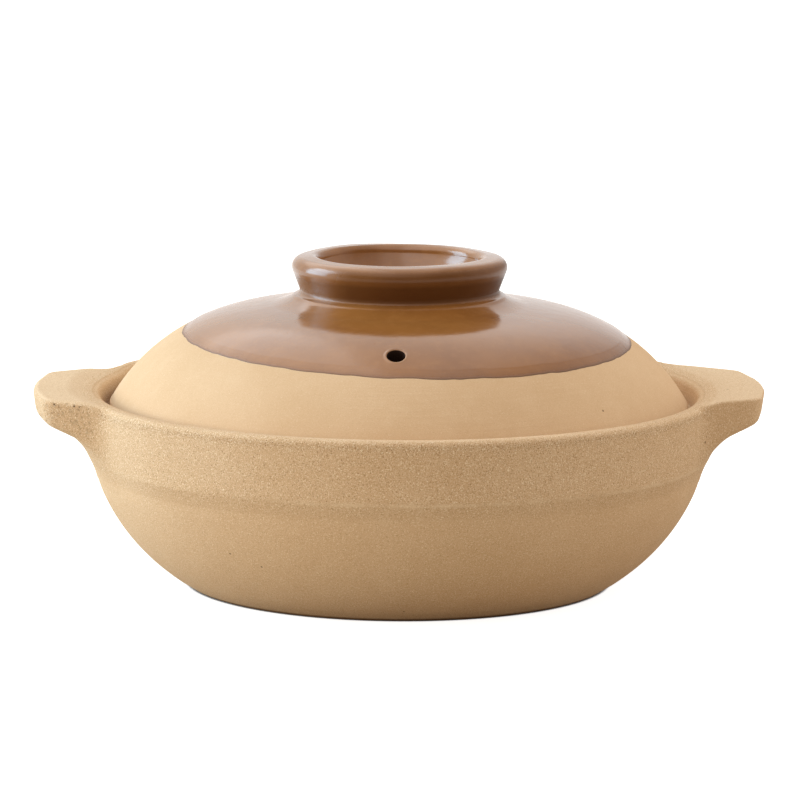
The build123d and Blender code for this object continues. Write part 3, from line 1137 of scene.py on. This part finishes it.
def clay_colour(n, place, p, look):
    sand, coarse = p["sand"], p["coarse"]
    base = n.mix(n.ramp(n.noise(place, 38.0, 4.0, 0.55), 0.32, 0.68), clay_tone, clay_shade)
    base = n.tint(base, clay_pale, n.ramp(p["mottle"], 0.45, 0.75), 0.12)
    base = n.tint(base, clay_shade, n.ramp(p["grooves"], 0.48, 0.78), 0.10)
    base = n.tint(base, clay_pale, n.attribute("smooth"), 0.35)
    # Painted shade darkens the inside of the rim at the left
    base = n.tint(base, clay_painted_shade, n.attribute("pocket_shade"), 0.85)
    amount = n.plus(n.times(coarse, 0.36), look["sand"])
    amount = n.plus(amount, n.times(p["rim"], 0.40))
    base = n.tint(base, clay_grain, n.ramp(sand, 0.55, 0.68), amount)
    base = n.tint(base, clay_pit, n.fall(sand, 0.30, 0.44), amount)
    base = n.tint(base, clay_pit, n.fall(p["grit"], 0.25, 0.34), n.times(coarse, 0.5))
    # Painted highlight along the ridge's crest, broken up by the mottling
    crest_highlight = n.times(n.ramp(p["mottle"], 0.25, 0.65), 0.55)
    base = n.tint(base, clay_pale, n.attribute("crest"), crest_highlight)
    glints = n.ramp(n.noise(place, 0.62, 1.0, 0.5), 0.70, 0.76)
    base = n.tint(base, clay_grain, glints, look["glints"])
    distance, picked = n.cells(place, 11.0, 0.72)
    speck = n.times(n.math("LESS_THAN", distance, 0.038), picked)
    base = n.tint(base, clay_hole, speck, 0.7)
    base = n.mix(p["holes"], base, clay_hole)
    # Painted shade: the foot's lowest edge darkens towards the floor
    if look["foot"]:
        height = n.add("ShaderNodeSeparateXYZ", {0: place}).outputs[2]
        base = n.mix(n.fall(height, *look["foot"]), base, clay_foot_shade)
    return base


def clay_relief(n, place, p, look):
    sand, coarse = p["sand"], p["coarse"]
    height = n.times(sand, n.plus(n.times(coarse, 0.9), 0.4))
    height = n.plus(height, n.times(p["rim"], n.times(sand, 1.2)))
    height = n.plus(height, n.times(n.noise(place, 0.36, 1.0, 0.5), 0.25))
    height = n.plus(height, n.times(n.ramp(p["grit"], 0.28, 0.42), n.times(coarse, 0.5)))
    height = n.math("SUBTRACT", height, n.times(p["holes"], 2.5))
    slow = n.plus(n.times(p["grooves"], 0.7), n.times(p["mottle"], 0.6))
    return n.bump(slow, look["slow"], n.bump(height, look["fine"]))


def clay_material(name, look):
    """Raw clay: sand grains, small pits, faint rings from turning. The bowl is coarser than the lid."""
    material, n = new_material(name)
    place = n.place()
    patterns = clay_patterns(n, place)
    feeds = {
        "Base Color": clay_colour(n, place, patterns, look),
        "Normal": clay_relief(n, place, patterns, look),
        "Roughness": 0.9,
        "IOR": 1.4,
        "Specular IOR Level": 0.2,
    }
    n.show(n.add("ShaderNodeBsdfPrincipled", feeds))
    return material


def glaze_colour(n, place, mottle, spots):
    """Amber where thin, darker on the neck where the glaze is thick and with painted shade, with a
    painted highlight on the steam hole's lip, painted shade down the hole, and a dark line at its edge.
    """
    base = n.mix(n.ramp(n.noise(place, 30.0, 3.0, 0.55), 0.35, 0.7), glaze_tone, glaze_deep)
    base = n.tint(base, glaze_thin, n.ramp(mottle, 0.45, 0.75), 0.25)
    base = n.tint(base, glaze_thin, n.ramp(spots, 0.64, 0.72), 0.22)
    # Darker where the glaze is thick, with painted shade on the knob's neck and bead
    base = n.tint(base, glaze_thick_and_shade, n.attribute("pool_and_shade"), 0.8)
    # Painted highlight on the steam hole's lip
    base = n.tint(base, glaze_lip_highlight, n.attribute("lip"), 0.35)
    base = n.tint(base, glaze_edge, n.attribute("edge"), 0.85)
    # Painted shade: the glaze darkens down the steam hole
    return n.mix(n.attribute("depth"), base, bore_shade)


def glaze_relief(n, place, spots):
    """Fine pits and a slow ripple."""
    distance, picked = n.cells(place, 4.2, 0.72)
    pinhole = n.times(n.fall(distance, 0.03, 0.075), picked)
    fine = n.bump(n.math("SUBTRACT", n.times(spots, 0.05), pinhole), 0.06)
    return n.bump(n.noise(place, 12.0, 2.0, 0.5), 0.16, fine)


def glaze_material(name):
    """Brown glossy glaze, duller where it is thick, at its edge and down the steam hole."""
    material, n = new_material(name)
    place = n.place()
    mottle = n.noise(place, 4.0, 4.0, 0.6)
    spots = n.noise(place, 1.0, 2.0, 0.6)
    pool_and_shade, depth = n.attribute("pool_and_shade"), n.attribute("depth")
    rough = n.plus(n.times(n.ramp(mottle, 0.3, 0.7), 0.05), 0.145)
    rough = n.plus(rough, n.times(n.attribute("edge"), 0.35))
    rough = n.plus(rough, n.times(pool_and_shade, 0.22))
    gloss = n.math("SUBTRACT", 0.5, n.times(depth, 0.42))
    feeds = {
        "Base Color": glaze_colour(n, place, mottle, spots),
        "Normal": glaze_relief(n, place, spots),
        "Roughness": n.plus(rough, n.times(depth, 0.7), True),
        "Specular IOR Level": n.math("SUBTRACT", gloss, n.times(pool_and_shade, 0.38), True),
        "IOR": 1.57,
    }
    n.show(n.add("ShaderNodeBsdfPrincipled", feeds))
    return material


# Floor, world, lights and camera

floor_half_size = 6.0         # metres
floor_bounce = (0.56, 0.50, 0.41, 1.0)
floor_seen = (0.5, 0.5, 0.5, 1.0)
floor_glow = 0.88
# Painted contact shadow: the floor's glow dims within this distance of the foot
contact_shadow_reach = 1.6           # millimetres from the foot within which the floor darkens
world_level = 0.70
world_tint = (1.0, 0.87, 0.74, 1.0)
room_level = 0.12
low_backdrop_level = 1.12
backdrop_level = 1.4
window_level = 1.0
right_level = 0.55
white = (1.0, 1.0, 1.0, 1.0)


def mirrored_rays(n, rays):
    """Glossy and transmission rays, added to other shares."""
    return n.plus(rays["Is Glossy Ray"], rays["Is Transmission Ray"], True)


def floor_piece():
    """White to the camera and in reflections, warm in the light that it throws back."""
    mesh = bpy.data.meshes.new("floor")
    side = floor_half_size
    corners = [(-side, -side, 0), (side, -side, 0), (side, side, 0), (-side, side, 0)]
    mesh.from_pydata(corners, [], [(0, 1, 2, 3)])
    floor = add_object("floor", mesh)
    material, n = new_material("floor")
    rays = n.add("ShaderNodeLightPath").outputs
    seen = n.plus(rays["Is Camera Ray"], mirrored_rays(n, rays), True)
    matt = n.add("ShaderNodeBsdfDiffuse", {"Color": n.mix(seen, floor_bounce, floor_seen)})
    near = n.add("ShaderNodeAmbientOcclusion", {"Distance": contact_shadow_reach * MM})
    # Painted contact shadow: ambient occlusion dims the floor's glow next to the foot
    glow = n.times(seen, n.times(n.ramp(near.outputs["AO"], 0.12, 0.45), floor_glow))
    light = n.add("ShaderNodeEmission", {"Color": white, "Strength": glow})
    n.show(n.add("ShaderNodeAddShader", {0: matt.outputs[0], 1: light.outputs[0]}))
    mesh.materials.append(material)


def set_world():
    """White to the camera. Reflections see a white backdrop behind the pot and a dim room in front."""
    world = bpy.data.worlds.new("studio")
    bpy.context.scene.world = world
    n = Nodes(world, "ShaderNodeOutputWorld")
    place = n.add("ShaderNodeTexCoord").outputs["Generated"]
    x, y, z = n.add("ShaderNodeSeparateXYZ", {0: place}).outputs
    rays = n.add("ShaderNodeLightPath").outputs
    behind = n.ramp(y, -0.5, 0.0, room_level, 1.0)
    above = n.ramp(z, 0.38, 0.66, room_level, 1.0)
    window = n.times(n.fall(x, -0.12, -0.05), n.ramp(z, 0.40, 0.52, 0.0, window_level))
    backdrop = n.ramp(z, 0.25, 0.55, low_backdrop_level, backdrop_level)
    gloss = n.times(n.math("MAXIMUM", behind, above), n.plus(window, backdrop))
    gloss = n.times(gloss, n.ramp(x, 0.2, 0.5, 1.0, right_level))
    mirrored = mirrored_rays(n, rays)
    level = n.between(mirrored, world_level, gloss)
    strength = n.between(rays["Is Camera Ray"], level, 1.0)
    seen = n.plus(rays["Is Camera Ray"], mirrored, True)
    tone = n.mix(seen, world_tint, white)
    n.show(n.add("ShaderNodeBackground", {"Color": tone, "Strength": strength}))


def lamp(name, place, aim_height, size, watts, tint=(1.0, 1.0, 1.0), mirrored=False):
    """Lamp in metres that looks at a height on the pot's axis."""
    light = bpy.data.lights.new(name, "AREA")
    light.shape = "RECTANGLE"
    light.size, light.size_y = size
    light.energy = watts
    light.color = tint
    made = add_object(name, light)
    made.location = place
    made.visible_glossy = mirrored
    look = Vector((0, 0, aim_height)) - Vector(place)
    made.rotation_euler = look.to_track_quat("-Z", "Y").to_euler()


def set_camera():
    data = bpy.data.cameras.new("camera")
    data.sensor_width = camera_sensor
    data.lens = camera_lens
    data.clip_start = 0.05
    data.clip_end = 50.0
    camera = add_object("camera", data)
    turn = Matrix.Rotation(-radians(camera_turn), 4, "Z")
    place = Matrix.Translation((0, -camera_distance * MM, camera_height * MM))
    tilt = Matrix.Rotation(radians(90 - camera_tilt), 4, "X")
    aim = Matrix.Rotation(-radians(camera_aim), 4, "Y")
    roll = Matrix.Rotation(radians(camera_roll), 4, "Z")
    camera.matrix_world = turn @ place @ tilt @ aim @ roll
    bpy.context.scene.camera = camera


pot_clay_piece()
pot_glaze_piece()
lid_clay_piece()
lid_coat_piece()
lid_underglaze_piece()
floor_piece()
set_world()
lamp("key", (-1.72, 0.49, 0.75), 0.3, (1.0, 1.5), 33.5, (0.51, 0.78, 1.0), True)
lamp("top", (0.0, -0.1, 1.9), 0.06, (1.4, 1.4), 9.5, (0.80, 0.93, 1.0))
lamp("right", (1.72, 0.45, 0.75), 0.3, (1.0, 1.5), 8.5)
lamp("low_left", (-1.7, -0.4, 0.35), 0.06, (1.0, 0.5), 11.0, (1.0, 0.94, 0.84))
set_camera()

scene = bpy.context.scene
scene.view_settings.view_transform = "Standard"
